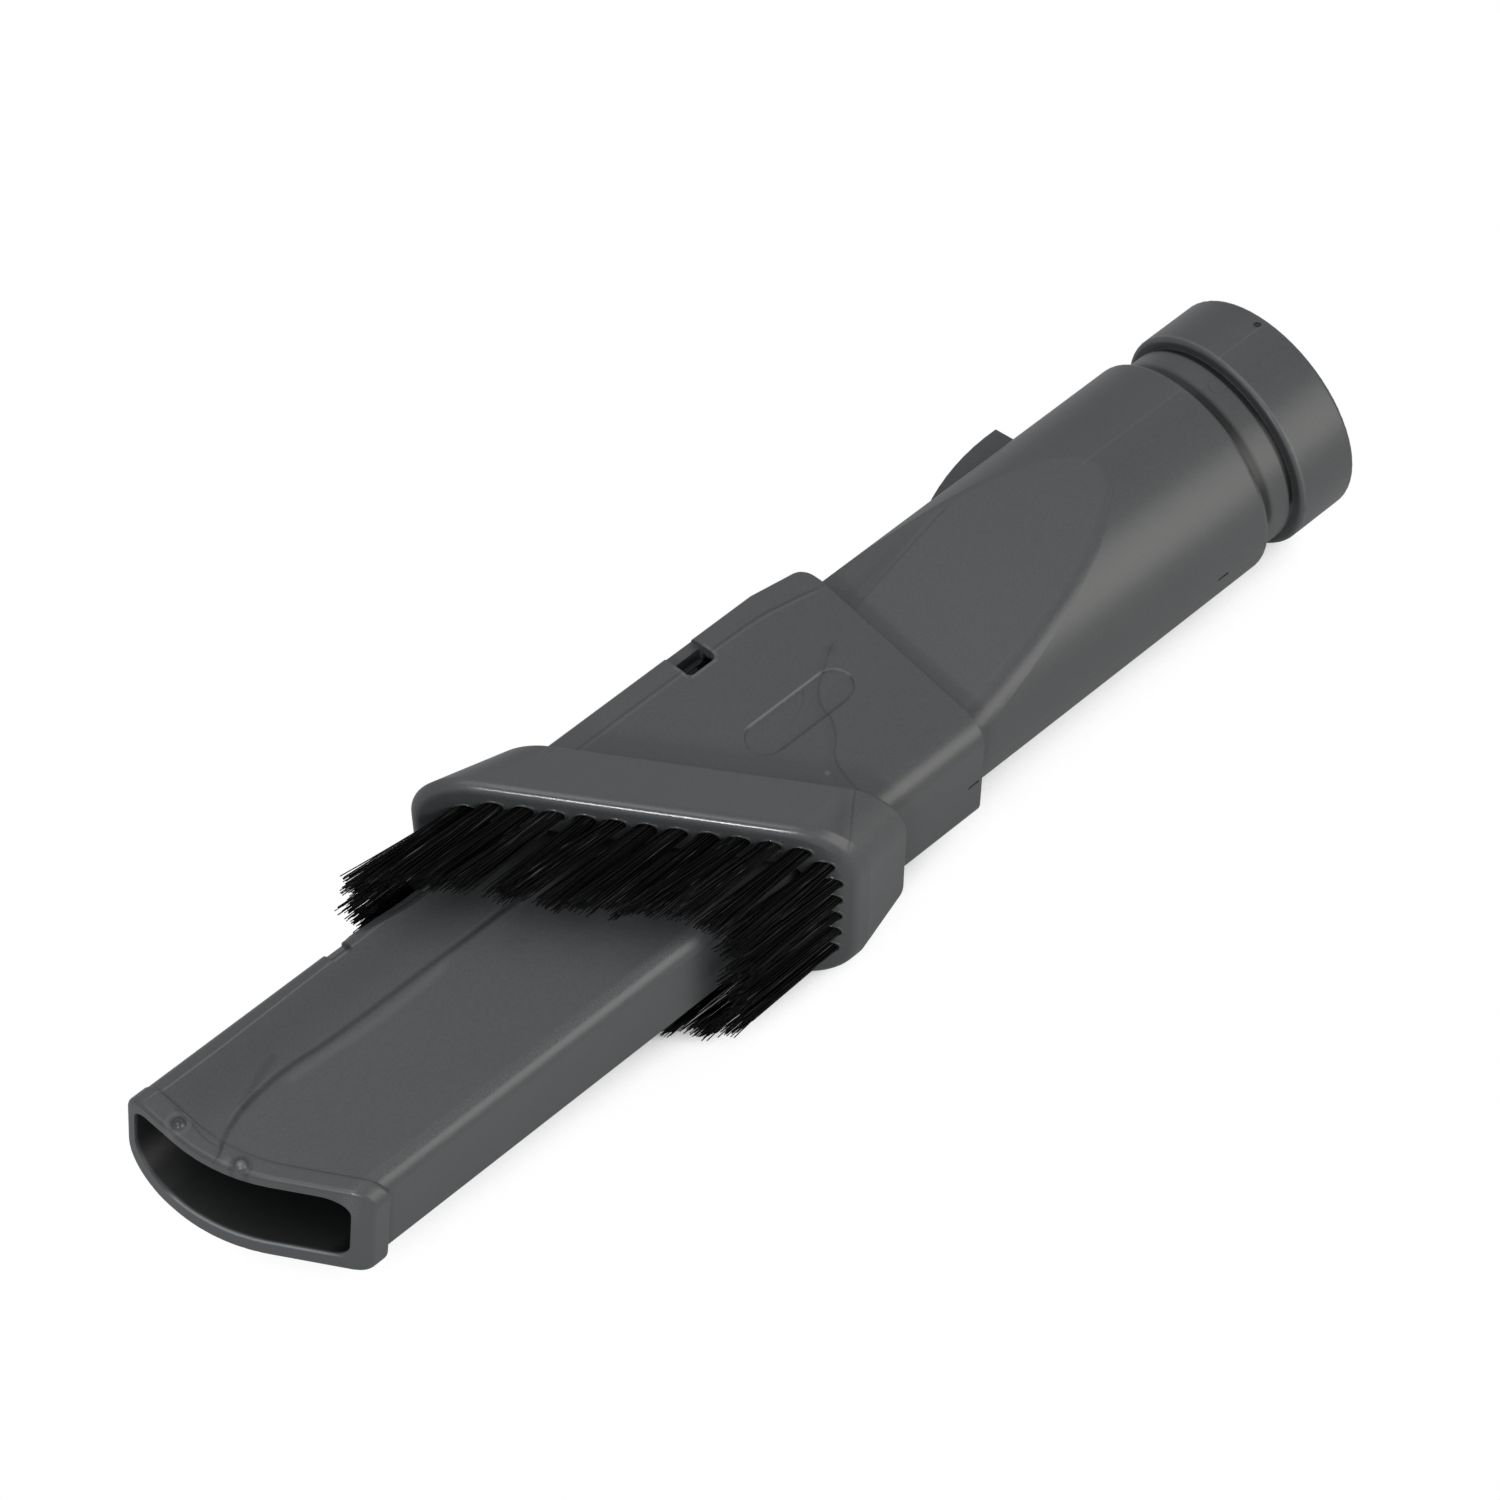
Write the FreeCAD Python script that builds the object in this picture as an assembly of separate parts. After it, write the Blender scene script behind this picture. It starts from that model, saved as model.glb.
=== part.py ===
"""Two-in-one vacuum crevice tool: a hollow nozzle with a brush carriage that slides along it.

The tool lies along X, with the connector's open end at the origin and the mouth at the far end.
+Y is the raked side of the mouth, +Z is up, and all sizes are in millimetres.
"""
import FreeCAD, Part
import math
import os

V = FreeCAD.Vector

# connector and tube
TUBE_RADIUS = 19.8
TUBE_WALL = 2.5
RING_LENGTH = 12.0
RING_EDGE_RADIUS = 0.8
GROOVE_WIDTH = 1.2
GROOVE_DEPTH = 2.0
BAND_STEP = 1.7
BAND_LENGTH = 6.0
SHOULDER_EDGE_RADIUS = 1.1
BORE_DEPTH = 38.0

# neck, where the tube turns into the flat nozzle
NECK_START = 40.0
NECK_LENGTH = 43.7
NECK_NEAR_EDGE_RADIUS = 4.5
NECK_FAR_EDGE_RADIUS = 1.0
NECK_FACET_START = 62.0
NECK_FACET_OUT = 13.2
NECK_FACET_DROP = 1.1
FACET_OVERRUN = 0.3

# catch fin on the far side of the tube
FIN_CREST = 38.6
FIN_LENGTH = 19.5
FIN_HEIGHT = 3.7
FIN_WIDTH = 8.0
FIN_BACK_LEAN = 0.9
FIN_RAMP_DIP = 0.85
FIN_SINK = 0.5

# flat nozzle, with lists of corners from near top and far top to far base and near base
NOZZLE_HALF_WIDTH = 18.4
NOZZLE_HALF_HEIGHT = 9.3
NOZZLE_CORNER = 3.5
NOZZLE_NEAR_CORNER = 3.0
NOZZLE_FAR_BASE_CORNER = 8.0
NOZZLE_BASE_CORNER = 1.2
NOZZLE_WALL = 1.8
DUCT_CORNERS = (4.0, 2.5, 7.0, 3.0)
TIP = 218.5
TIP_RAKE_DEG = 36.5
TIP_FAR_RAKE_DEG = 5.0
TIP_BEND_RADIUS = 30.0
TIP_LEAN_DEG = 7.0
CREASE_OUT_AT_NECK = 9.9
CREASE_OUT_AT_TIP = 3.4
CREASE_DROP_DEG = 2.0

# lip round the mouth
LIP_LENGTH = 4.0
LIP_PROUD_NEAR = 1.1
LIP_PROUD_FAR = 0.05
LIP_PROUD_TOP = 0.35
LIP_PROUD_BASE = 2.0
LIP_CORNERS = (3.5, 3.6, 9.0, 3.0)
LIP_EDGE_RADIUS = 0.8
NUB_RADIUS = 1.15
NUB_SINK = 0.35
NUBS = ((9.05, 2.1), (-2.25, 4.6))

# latch track on the far top corner of the nozzle
RAMP_START = 167.5
RAMP_LENGTH = 10.0
CREST_LENGTH = 1.2
NOTCH_LENGTH = 3.7

# small moulding marks
SLIT_LENGTH = 2.2
SLIT_WIDTH = 0.7
MARK_DEPTH = 0.5
TUBE_SLIT_AT = 29.8
RING_DIMPLE_AT = 1.9
RING_DIMPLE_OUT = 2.6
RING_DIMPLE_RADIUS = 0.6

# sleeve of the brush carriage
RUNNING_GAP = 0.35
STOP_GAP = 0.3
SLEEVE_NEAR_OUT = 21.2
SLEEVE_FAR_OUT = 22.0
SLEEVE_HALF_HEIGHT = 13.0
SLEEVE_CORNER = 4.6
SLEEVE_FAR_CORNER = 1.4
STRIP_START_OUT = 17.5
STRIP_FALL_DEG = 15.0
SLEEVE_WALL = 1.8
SLEEVE_TAPER_LENGTH = 9.4
SLEEVE_TAPER = 1.5
SLEEVE_BACK_CORNER = 3.5
COLLAR_LENGTH = 4.0
GUIDE_RIB_LENGTH = 15.0
GUIDE_RIB_WIDTH = 1.8
GUIDE_RIB_OUT = 9.0
SIDE_RIB_HEIGHT = 5.0
PILL_LENGTH = 20.5
PILL_WIDTH = 6.3
PILL_FROM_BACK = 19.0
PILL_DEPTH = 0.25

# latch window, tooth and thumb pad on the far side of the sleeve
WINDOW_FROM_BACK = 21.6
WINDOW_LENGTH = 5.6
WINDOW_INNER_OUT = 16.0
WINDOW_OUTER_OUT = 20.2
WINDOW_BAR_TOP = 10.7
WINDOW_FLOOR = 8.0
WINDOW_CORNER = 1.0
TOOTH_LENGTH = 3.2
TOOTH_BELOW = 4.6
PAD_LENGTH = 7.0
PAD_HALF_HEIGHT = 7.0
PAD_PROUD = 0.45

# raked brush holder, a rounded block that stands out from the sleeve
RAKE_DEG = 38.5
HOLDER_BACK = 38.2
HOLDER_DEPTH = 14.5
HOLDER_BACK_HALF_LENGTH = 32.1
HOLDER_BACK_HALF_HEIGHT = 17.5
HOLDER_BACK_CORNER = 10.0
HOLDER_OFF_CENTRE = 1.0
BACK_EDGE_RADIUS = 0.5
HOLDER_HALF_LENGTH = 35.0
HOLDER_HALF_HEIGHT = 20.5
HOLDER_CORNER = 11.0
HOLDER_LAND = 2.6
RIM_RADIUS = 1.6
HOLDER_WALL = 2.4
FACE_PLATE = 7.5
LIP_GAP = 0.5

# bristle tufts and their anchors
TUFT_COUNT = 36
TUFT_INSET_TOP = 4.2
TUFT_INSET_NEAR = 3.7
TUFT_INSET_FAR = 8.0
TUFT_RING_CORNER = 8.0
TUFT_HOLE_RADIUS = 1.3
TUFT_HOLE_DEPTH = 4.6
TUFT_GAP = 0.1
TUFT_TIP_RADIUS = 1.75
TUFT_LENGTH = 19.5
ANCHOR_THICKNESS = 0.5
ANCHOR_WIDTH = 0.7

# places worked out from the sizes above
X_AXIS = V(1, 0, 0)
Y_AXIS = V(0, 1, 0)
Z_AXIS = V(0, 0, 1)
ORIGIN = V(0, 0, 0)
MARGIN = 5.0
TOLERANCE = 1e-4
BORE_RADIUS = TUBE_RADIUS - TUBE_WALL
GROOVE_RADIUS = TUBE_RADIUS - GROOVE_DEPTH
BAND_RADIUS = TUBE_RADIUS - BAND_STEP
BAND_START = RING_LENGTH + GROOVE_WIDTH
SHOULDER = BAND_START + BAND_LENGTH
NECK_END = NECK_START + NECK_LENGTH
NECK_SLOPE = (TUBE_RADIUS - NOZZLE_HALF_HEIGHT) / NECK_LENGTH
DUCT_HALF_WIDTH = NOZZLE_HALF_WIDTH - NOZZLE_WALL
DUCT_HALF_HEIGHT = NOZZLE_HALF_HEIGHT - NOZZLE_WALL
NOZZLE_CORNERS = (NOZZLE_NEAR_CORNER, NOZZLE_CORNER, NOZZLE_FAR_BASE_CORNER, NOZZLE_BASE_CORNER)
SLEEVE_BACK = NECK_END + STOP_GAP
RAKE = math.radians(RAKE_DEG)
ALONG_RAKE = V(-math.sin(RAKE), math.cos(RAKE), 0)
HOLDER_START = SLEEVE_BACK + HOLDER_BACK
HOLDER_FACE = HOLDER_START + HOLDER_DEPTH
HOLDER_RISE = (HOLDER_HALF_HEIGHT - HOLDER_BACK_HALF_HEIGHT) / (HOLDER_DEPTH - HOLDER_LAND)
CORNER_SIGNS = ((1, 1), (-1, 1), (-1, -1), (1, -1))


def rounded_outline(centre, along, half_along, half_up, corners):
    """Return a closed wire with four round corners, in the plane of a direction and Z.

    The corners go round from the near top by the far top and the far base to the near base.
    """
    def point(a, b):
        return centre + along * a + Z_AXIS * b

    arcs = []
    for (sign_a, sign_b), corner in zip(CORNER_SIGNS, corners):
        in_a = sign_a * (half_along - corner)
        in_b = sign_b * (half_up - corner)
        middle = corner * math.sqrt(0.5)
        side = point(sign_a * half_along, in_b)
        bend = point(in_a + sign_a * middle, in_b + sign_b * middle)
        level = point(in_a, sign_b * half_up)
        arcs.append((side, bend, level) if sign_a == sign_b else (level, bend, side))
    edges = []
    for arc, following in zip(arcs, arcs[1:] + arcs[:1]):
        edges.append(Part.Arc(*arc).toShape())
        edges.append(Part.makeLine(arc[2], following[0]))
    return Part.Wire(edges)


def matching_circle(at, radius, half_along, half_up, corners):
    """Return a circle as eight arcs whose ends face the ends of a rounded outline's edges."""
    angles = []
    for (sign_a, sign_b), corner in zip(CORNER_SIGNS, corners):
        side = math.atan2(sign_b * (half_up - corner), sign_a * half_along)
        level = math.atan2(sign_b * half_up, sign_a * (half_along - corner))
        angles += [side, level] if sign_a == sign_b else [level, side]
    angles = [angle % (2 * math.pi) for angle in angles]

    def point(angle):
        return V(at, radius * math.cos(angle), radius * math.sin(angle))

    edges = []
    for first, last in zip(angles, angles[1:] + [angles[0] + 2 * math.pi]):
        edges.append(Part.Arc(point(first), point((first + last) / 2), point(last)).toShape())
    return Part.Wire(edges)


def prism(wire, direction):
    """Return the solid that a closed flat wire sweeps out."""
    return Part.Face(wire).extrude(direction)


def polygon(points):
    """Return a closed wire through the points."""
    return Part.makePolygon(points + [points[0]])


def box(low, high):
    """Return a box between two corners given as numbers."""
    size = [b - a for a, b in zip(low, high)]
    return Part.makeBox(size[0], size[1], size[2], V(*low))


def both_sides(shape):
    """Return a shape and its mirror image below the tool's middle plane, as a list."""
    return [shape, shape.mirror(ORIGIN, Z_AXIS)]


def section(at, length, half_width, half_height, corners):
    """Return a bar of rounded section along X."""
    return prism(rounded_outline(V(at, 0, 0), Y_AXIS, half_width, half_height, corners), X_AXIS * length)


def edges_along_x(shape, y):
    """Return the straight edges along X at a distance from the middle plane."""
    return [edge for edge in shape.Edges
            if edge.BoundBox.YLength < TOLERANCE and edge.BoundBox.ZLength < TOLERANCE
            and abs(edge.CenterOfMass.y - y) < TOLERANCE]


def bar(start, length, radius):
    """Return a round bar along X."""
    return Part.makeCylinder(radius, length, V(start, 0, 0), X_AXIS)


def circles_at(shape, at, radius):
    """Return the circular edges of a radius that lie in the plane across X at a place."""
    found = []
    for edge in shape.Edges:
        box_of_edge = edge.BoundBox
        flat = box_of_edge.XLength < TOLERANCE and abs(box_of_edge.XMin - at) < TOLERANCE
        if flat and hasattr(edge.Curve, "Radius") and abs(edge.Curve.Radius - radius) < TOLERANCE:
            found.append(edge)
    return found


def connector():
    """Return the solid ring, groove and band that end the tube."""
    ring = bar(0, RING_LENGTH, TUBE_RADIUS)
    ends = circles_at(ring, 0, TUBE_RADIUS) + circles_at(ring, RING_LENGTH, TUBE_RADIUS)
    ring = ring.makeFillet(RING_EDGE_RADIUS, ends)
    groove = bar(RING_LENGTH, GROOVE_WIDTH, GROOVE_RADIUS)
    band = bar(BAND_START, BAND_LENGTH, BAND_RADIUS)
    return [ring, groove, band]


def neck_plane_height(x):
    """Return the height of the neck's sloping top above the axis."""
    return TUBE_RADIUS - NECK_SLOPE * (x - NECK_START)


def tube_and_neck():
    """Return the solid upper half of the tube, cut by the sloping plane of the neck."""
    tube = bar(SHOULDER, NECK_END - SHOULDER, TUBE_RADIUS)
    tube.rotate(ORIGIN, X_AXIS, 180)  # the round bar's seam goes below, so the neck's edge is one curve
    tube = tube.makeFillet(SHOULDER_EDGE_RADIUS, circles_at(tube, SHOULDER, TUBE_RADIUS))
    wide = TUBE_RADIUS + MARGIN
    before = NECK_START - MARGIN
    after = NECK_END + MARGIN
    wedge = prism(polygon([
        V(before, -wide, neck_plane_height(before)),
        V(after, -wide, neck_plane_height(after)),
        V(after, -wide, neck_plane_height(before) + MARGIN),
        V(before, -wide, neck_plane_height(before) + MARGIN),
    ]), Y_AXIS * 2 * wide)
    half = tube.cut(wedge).common(box((SHOULDER, -wide, 0), (NECK_END, wide, wide)))
    rim = [edge for edge in half.Edges if isinstance(edge.Curve, Part.Ellipse)]
    radii = [NECK_NEAR_EDGE_RADIUS, NECK_FAR_EDGE_RADIUS]
    if rim[0].valueAt(rim[0].FirstParameter).y < 0:
        radii.reverse()
    return half.makeFillet(*radii, rim).cut(neck_facet())


def neck_facet():
    """Return the block above the facet that falls away on the far side of the neck's top."""
    near = V(NECK_END, -CREASE_OUT_AT_NECK, NOZZLE_HALF_HEIGHT)
    back = V(NECK_FACET_START, -NECK_FACET_OUT, neck_plane_height(NECK_FACET_START))
    low = V(NECK_END, -TUBE_RADIUS, NOZZLE_HALF_HEIGHT - NECK_FACET_DROP)
    far = back + (low - near)
    beyond = (back - near) * FACET_OVERRUN
    base = polygon([near, low, far + beyond, back + beyond])
    return prism(base, Z_AXIS * TUBE_RADIUS)


def catch_fin():
    """Return the solid fin on the far side of the tube, with a curved ramp and a steep back."""
    root = -(TUBE_RADIUS - FIN_SINK)
    crest = -(TUBE_RADIUS + FIN_HEIGHT)
    low = -FIN_WIDTH / 2
    ramp_end = V(FIN_CREST + FIN_LENGTH, root, low)
    ramp_middle = V(FIN_CREST + FIN_LENGTH / 2, crest + FIN_RAMP_DIP, low)
    top = V(FIN_CREST, crest, low)
    heel = V(FIN_CREST - FIN_BACK_LEAN, root, low)
    inside = V(0, FIN_HEIGHT / 2, 0)
    outline = Part.Wire([
        Part.Arc(ramp_end, ramp_middle, top).toShape(),
        Part.makeLine(top, heel),
        Part.makeLine(heel, heel + inside),
        Part.makeLine(heel + inside, ramp_end + inside),
        Part.makeLine(ramp_end + inside, ramp_end),
    ])
    return prism(outline, Z_AXIS * FIN_WIDTH)


def tip_block(front, length):
    """Return a tall leaning block between the mouth's bent front line and the same line further back."""
    wide = 2 * NOZZLE_HALF_WIDTH
    lean = math.tan(math.radians(TIP_LEAN_DEG))
    far_rake = math.radians(TIP_FAR_RAKE_DEG)
    near_rake = math.radians(TIP_RAKE_DEG)
    middle = (far_rake + near_rake) / 2
    tangent = TIP_BEND_RADIUS * math.tan((near_rake - far_rake) / 2)
    corner = V(front + lean * wide, 0, -wide)
    to_far = V(math.sin(far_rake), -math.cos(far_rake), 0)
    to_near = V(-math.sin(near_rake), math.cos(near_rake), 0)
    bend_start = corner + to_far * tangent
    bend_end = corner + to_near * tangent
    centre = bend_start - V(math.cos(far_rake), math.sin(far_rake), 0) * TIP_BEND_RADIUS
    bend = centre + V(math.cos(middle), math.sin(middle), 0) * TIP_BEND_RADIUS
    far_end = corner + to_far * wide
    near_end = corner + to_near * wide
    back = X_AXIS * -length
    outline = Part.Wire([
        Part.makeLine(far_end, bend_start),
        Part.Arc(bend_start, bend, bend_end).toShape(),
        Part.makeLine(bend_end, near_end),
        Part.makeLine(near_end, near_end + back),
        Part.makeLine(near_end + back, bend_end + back),
        Part.Arc(bend_end + back, bend + back, bend_start + back).toShape(),
        Part.makeLine(bend_start + back, far_end + back),
        Part.makeLine(far_end + back, far_end),
    ])
    return prism(outline, V(-lean, 0, 1) * 2 * wide)


def latch_track():
    """Return the cutters of the latch track: the run with its ramp, and the notch."""
    middle = NOZZLE_CORNER / 2
    on_chord = V(0, -(NOZZLE_HALF_WIDTH - middle), NOZZLE_HALF_HEIGHT - middle)
    outward = V(0, -1, 1).normalize()
    across = V(0, 1, 1).normalize()
    crown = NOZZLE_CORNER * (1 - math.sqrt(0.5))
    clear = outward * MARGIN
    start = on_chord - across * NOZZLE_CORNER
    ramp_end = RAMP_START + RAMP_LENGTH
    notch_start = ramp_end + CREST_LENGTH
    run = polygon([
        start + X_AXIS * NECK_END,
        start + X_AXIS * RAMP_START,
        start + X_AXIS * ramp_end + outward * crown,
        start + X_AXIS * ramp_end + clear,
        start + X_AXIS * NECK_END + clear,
    ])
    notch = polygon([
        start + X_AXIS * notch_start,
        start + X_AXIS * (notch_start + NOTCH_LENGTH),
        start + X_AXIS * (notch_start + NOTCH_LENGTH) + clear,
        start + X_AXIS * notch_start + clear,
    ])
    return [prism(wire, across * 2 * NOZZLE_CORNER) for wire in (run, notch)]


def crease_facet():
    """Return the block above the slightly falling facet on the far side of the nozzle's top."""
    near = V(NECK_END, -CREASE_OUT_AT_NECK, NOZZLE_HALF_HEIGHT)
    front = V(TIP, -CREASE_OUT_AT_TIP, NOZZLE_HALF_HEIGHT)
    fall = V(0, -NOZZLE_HALF_WIDTH, -NOZZLE_HALF_WIDTH * math.tan(math.radians(CREASE_DROP_DEG)))
    base = polygon([near, front, front + fall, near + fall])
    return prism(base, Z_AXIS * MARGIN)


def flat_nozzle():
    """Return the solid flat nozzle with its creased faces and its latch track."""
    start = NECK_END - NOZZLE_WALL
    long_way = TIP + MARGIN - start
    nozzle = section(start, long_way, NOZZLE_HALF_WIDTH, NOZZLE_HALF_HEIGHT, NOZZLE_CORNERS)
    cutters = both_sides(crease_facet()) + latch_track()
    return nozzle.cut(cutters).common(tip_block(TIP - LIP_LENGTH / 2, TIP))


def lip():
    """Return the solid lip round the mouth, with its two nubs."""
    near = NOZZLE_HALF_WIDTH + LIP_PROUD_NEAR
    far = NOZZLE_HALF_WIDTH + LIP_PROUD_FAR
    top = NOZZLE_HALF_HEIGHT + LIP_PROUD_TOP
    base = NOZZLE_HALF_HEIGHT + LIP_PROUD_BASE
    start = V(NECK_END, (near - far) / 2, (top - base) / 2)
    outline = rounded_outline(start, Y_AXIS, (near + far) / 2, (top + base) / 2, LIP_CORNERS)
    band = prism(outline, X_AXIS * TIP).common(tip_block(TIP, LIP_LENGTH))
    band = band.makeFillet(LIP_EDGE_RADIUS, [edge for edge in band.Edges if is_lip_rim(edge)])
    nubs = [Part.makeSphere(NUB_RADIUS, V(TIP - behind, -out, top - NUB_SINK)) for out, behind in NUBS]
    return [band] + nubs


def is_lip_rim(edge):
    """Tell whether an edge of the lip goes round it, and isn't a seam along X or a line of the bend."""
    bounds = edge.BoundBox
    along_x = bounds.YLength < TOLERANCE and bounds.ZLength < TOLERANCE
    on_bend = bounds.ZLength > NOZZLE_HALF_HEIGHT and abs(edge.CenterOfMass.y) < DUCT_HALF_WIDTH
    return not along_x and not on_bend


def air_way():
    """Return the solid of the air's path: connector bore, round-to-flat duct and mouth."""
    bore = bar(-MARGIN, BORE_DEPTH + MARGIN, BORE_RADIUS)
    duct = (DUCT_HALF_WIDTH, DUCT_HALF_HEIGHT, DUCT_CORNERS)
    round_end = matching_circle(BORE_DEPTH, BORE_RADIUS, *duct)
    flat_end = rounded_outline(V(NECK_END, 0, 0), Y_AXIS, *duct)
    change = Part.makeLoft([round_end, flat_end], True, True)
    mouth = section(NECK_END, TIP - NECK_END + 2 * MARGIN, *duct)
    return [bore, change, mouth]


def body_marks():
    """Return the cutters of the slit on the tube's side and the dimple on the ring."""
    slit = box(
        (TUBE_SLIT_AT - SLIT_LENGTH / 2, TUBE_RADIUS - MARK_DEPTH, -SLIT_WIDTH / 2),
        (TUBE_SLIT_AT + SLIT_LENGTH / 2, TUBE_RADIUS + MARGIN, SLIT_WIDTH / 2),
    )
    floor = math.sqrt(TUBE_RADIUS ** 2 - RING_DIMPLE_OUT ** 2) - MARK_DEPTH
    dimple = Part.makeCylinder(RING_DIMPLE_RADIUS, MARGIN, V(RING_DIMPLE_AT, -RING_DIMPLE_OUT, floor), Z_AXIS)
    return [slit, dimple]


def nozzle_body():
    """Return the one-piece hollow nozzle."""
    halves = both_sides(tube_and_neck())
    outside = halves[0].fuse(halves[1:] + connector() + [catch_fin(), flat_nozzle()] + lip())
    return outside.removeSplitter().cut(air_way() + body_marks())


def raked_outline(at, half_length, half_height, corner, off_centre=0.0):
    """Return a rounded outline in the raked plane that crosses the axis at a place.

    Its middle may lie off the axis, towards the far side.
    """
    centre = V(at, 0, 0) - ALONG_RAKE * off_centre
    return rounded_outline(centre, ALONG_RAKE, half_length, half_height, (corner,) * 4)


def sleeve_bar():
    """Return a long solid bar of the sleeve's section, with the strips that fall away on its far side."""
    level = SLEEVE_HALF_HEIGHT
    fall = (SLEEVE_FAR_OUT - STRIP_START_OUT) * math.tan(math.radians(STRIP_FALL_DEG))
    corners = [(SLEEVE_NEAR_OUT, -level), (SLEEVE_NEAR_OUT, level), (-STRIP_START_OUT, level),
               (-SLEEVE_FAR_OUT, level - fall), (-SLEEVE_FAR_OUT, fall - level), (-STRIP_START_OUT, -level)]
    length = HOLDER_FACE + HOLDER_HALF_LENGTH - SLEEVE_BACK
    solid = prism(polygon([V(SLEEVE_BACK, y, z) for y, z in corners]), X_AXIS * length)
    solid = solid.makeFillet(SLEEVE_CORNER, edges_along_x(solid, SLEEVE_NEAR_OUT))
    return solid.makeFillet(SLEEVE_FAR_CORNER, edges_along_x(solid, -SLEEVE_FAR_OUT))


def sleeve():
    """Return the solid sleeve, with the taper at the back of its far side."""
    wide = SLEEVE_FAR_OUT + MARGIN
    raked_end = raked_outline(HOLDER_START + HOLDER_WALL, 2 * wide, wide, SLEEVE_CORNER)
    whole = sleeve_bar().common(prism(raked_end, X_AXIS * -(HOLDER_START + wide)))
    taper_end = SLEEVE_BACK + SLEEVE_TAPER_LENGTH
    shear = V(-SLEEVE_TAPER_LENGTH, SLEEVE_TAPER, 0)
    front = whole.common(box((taper_end, -wide, -wide), (HOLDER_FACE + wide, wide, wide)))
    end_outline = Part.Wire(whole.slice(X_AXIS, taper_end)[0].Edges)
    far_half = prism(end_outline, shear).common(box((SLEEVE_BACK, -wide, -wide), (taper_end, 0, wide)))
    near_half = whole.common(box((SLEEVE_BACK, 0, -wide), (taper_end, wide, wide)))
    return front.fuse([far_half.cut(back_corner()), near_half])


def back_corner():
    """Return the cutter that rounds the far back corner of the sleeve, as seen from above."""
    radius = SLEEVE_BACK_CORNER
    lean = SLEEVE_TAPER / SLEEVE_TAPER_LENGTH
    outward = V(-lean, -1, 0).normalize()
    far_back = SLEEVE_FAR_OUT - SLEEVE_TAPER
    centre = V(SLEEVE_BACK + radius, radius * (math.hypot(1, lean) - lean) - far_back, -SLEEVE_FAR_OUT)
    on_back = centre - X_AXIS * radius
    on_side = centre + outward * radius
    bend = centre + (outward - X_AXIS).normalize() * radius
    beyond = V(SLEEVE_BACK - MARGIN, -SLEEVE_FAR_OUT - MARGIN, centre.z)
    outline = Part.Wire([
        Part.Arc(on_back, bend, on_side).toShape(),
        Part.makeLine(on_side, on_side + outward * MARGIN),
        Part.makeLine(on_side + outward * MARGIN, beyond),
        Part.makeLine(beyond, on_back - X_AXIS * MARGIN),
        Part.makeLine(on_back - X_AXIS * MARGIN, on_back),
    ])
    return prism(outline, Z_AXIS * 2 * SLEEVE_FAR_OUT)


def holder():
    """Return the solid brush holder, a rounded block that widens to a straight land at its front."""
    land_start = HOLDER_FACE - HOLDER_LAND
    back = raked_outline(HOLDER_START, HOLDER_BACK_HALF_LENGTH, HOLDER_BACK_HALF_HEIGHT,
                         HOLDER_BACK_CORNER, HOLDER_OFF_CENTRE)
    front = raked_outline(land_start, HOLDER_HALF_LENGTH, HOLDER_HALF_HEIGHT, HOLDER_CORNER,
                          HOLDER_OFF_CENTRE)
    block = round_rim(Part.makeLoft([back, front], True, True), HOLDER_START, BACK_EDGE_RADIUS)
    return block.fuse(round_rim(prism(front, X_AXIS * HOLDER_LAND), HOLDER_FACE, RIM_RADIUS))


def round_rim(shape, at, radius):
    """Return a shape with the edges rounded that lie in the raked plane crossing the axis at a place."""
    normal = V(math.cos(RAKE), math.sin(RAKE), 0)
    level = normal.dot(V(at, 0, 0))
    rim = [edge for edge in shape.Edges
           if all(abs(normal.dot(vertex.Point) - level) < TOLERANCE for vertex in edge.Vertexes)]
    return shape.makeFillet(radius, rim)


def face_x(y):
    """Return where the holder's front face stands at a distance from the middle."""
    return HOLDER_FACE - y * math.tan(RAKE)


def tuft_places():
    """Return the (y, z) of each tuft, evenly spaced round a rounded outline inside the front face."""
    half_length = HOLDER_HALF_LENGTH - (TUFT_INSET_FAR + TUFT_INSET_NEAR) / 2
    half_height = HOLDER_HALF_HEIGHT - TUFT_INSET_TOP
    off_centre = HOLDER_OFF_CENTRE - (TUFT_INSET_FAR - TUFT_INSET_NEAR) / 2
    outline = raked_outline(HOLDER_FACE, half_length, half_height, TUFT_RING_CORNER, off_centre)
    points = outline.discretize(TUFT_COUNT + 1)[:TUFT_COUNT]
    return [(point.y, point.z) for point in points]


def carriage_ways():
    """Return the cutters that let the nozzle and its lip pass through the carriage."""
    collar = section(SLEEVE_BACK - MARGIN, COLLAR_LENGTH + 2 * MARGIN, NOZZLE_HALF_WIDTH + RUNNING_GAP,
                     NOZZLE_HALF_HEIGHT + RUNNING_GAP, [corner + RUNNING_GAP for corner in NOZZLE_CORNERS])
    inner_half_width = SLEEVE_NEAR_OUT - SLEEVE_WALL
    inner_half_height = SLEEVE_HALF_HEIGHT - SLEEVE_WALL
    long_way = HOLDER_FACE + HOLDER_HALF_LENGTH - SLEEVE_BACK
    hall = section(SLEEVE_BACK + COLLAR_LENGTH, long_way, inner_half_width, inner_half_height, NOZZLE_CORNERS)
    lip_half_length = (NOZZLE_HALF_WIDTH + LIP_PROUD_NEAR + LIP_GAP) / math.cos(RAKE)
    lip_half_height = NOZZLE_HALF_HEIGHT + LIP_PROUD_BASE + LIP_GAP
    lip_outline = raked_outline(HOLDER_START + HOLDER_WALL, lip_half_length, lip_half_height,
                                NOZZLE_NEAR_CORNER)
    return [collar, hall, prism(lip_outline, X_AXIS * long_way)]


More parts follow.
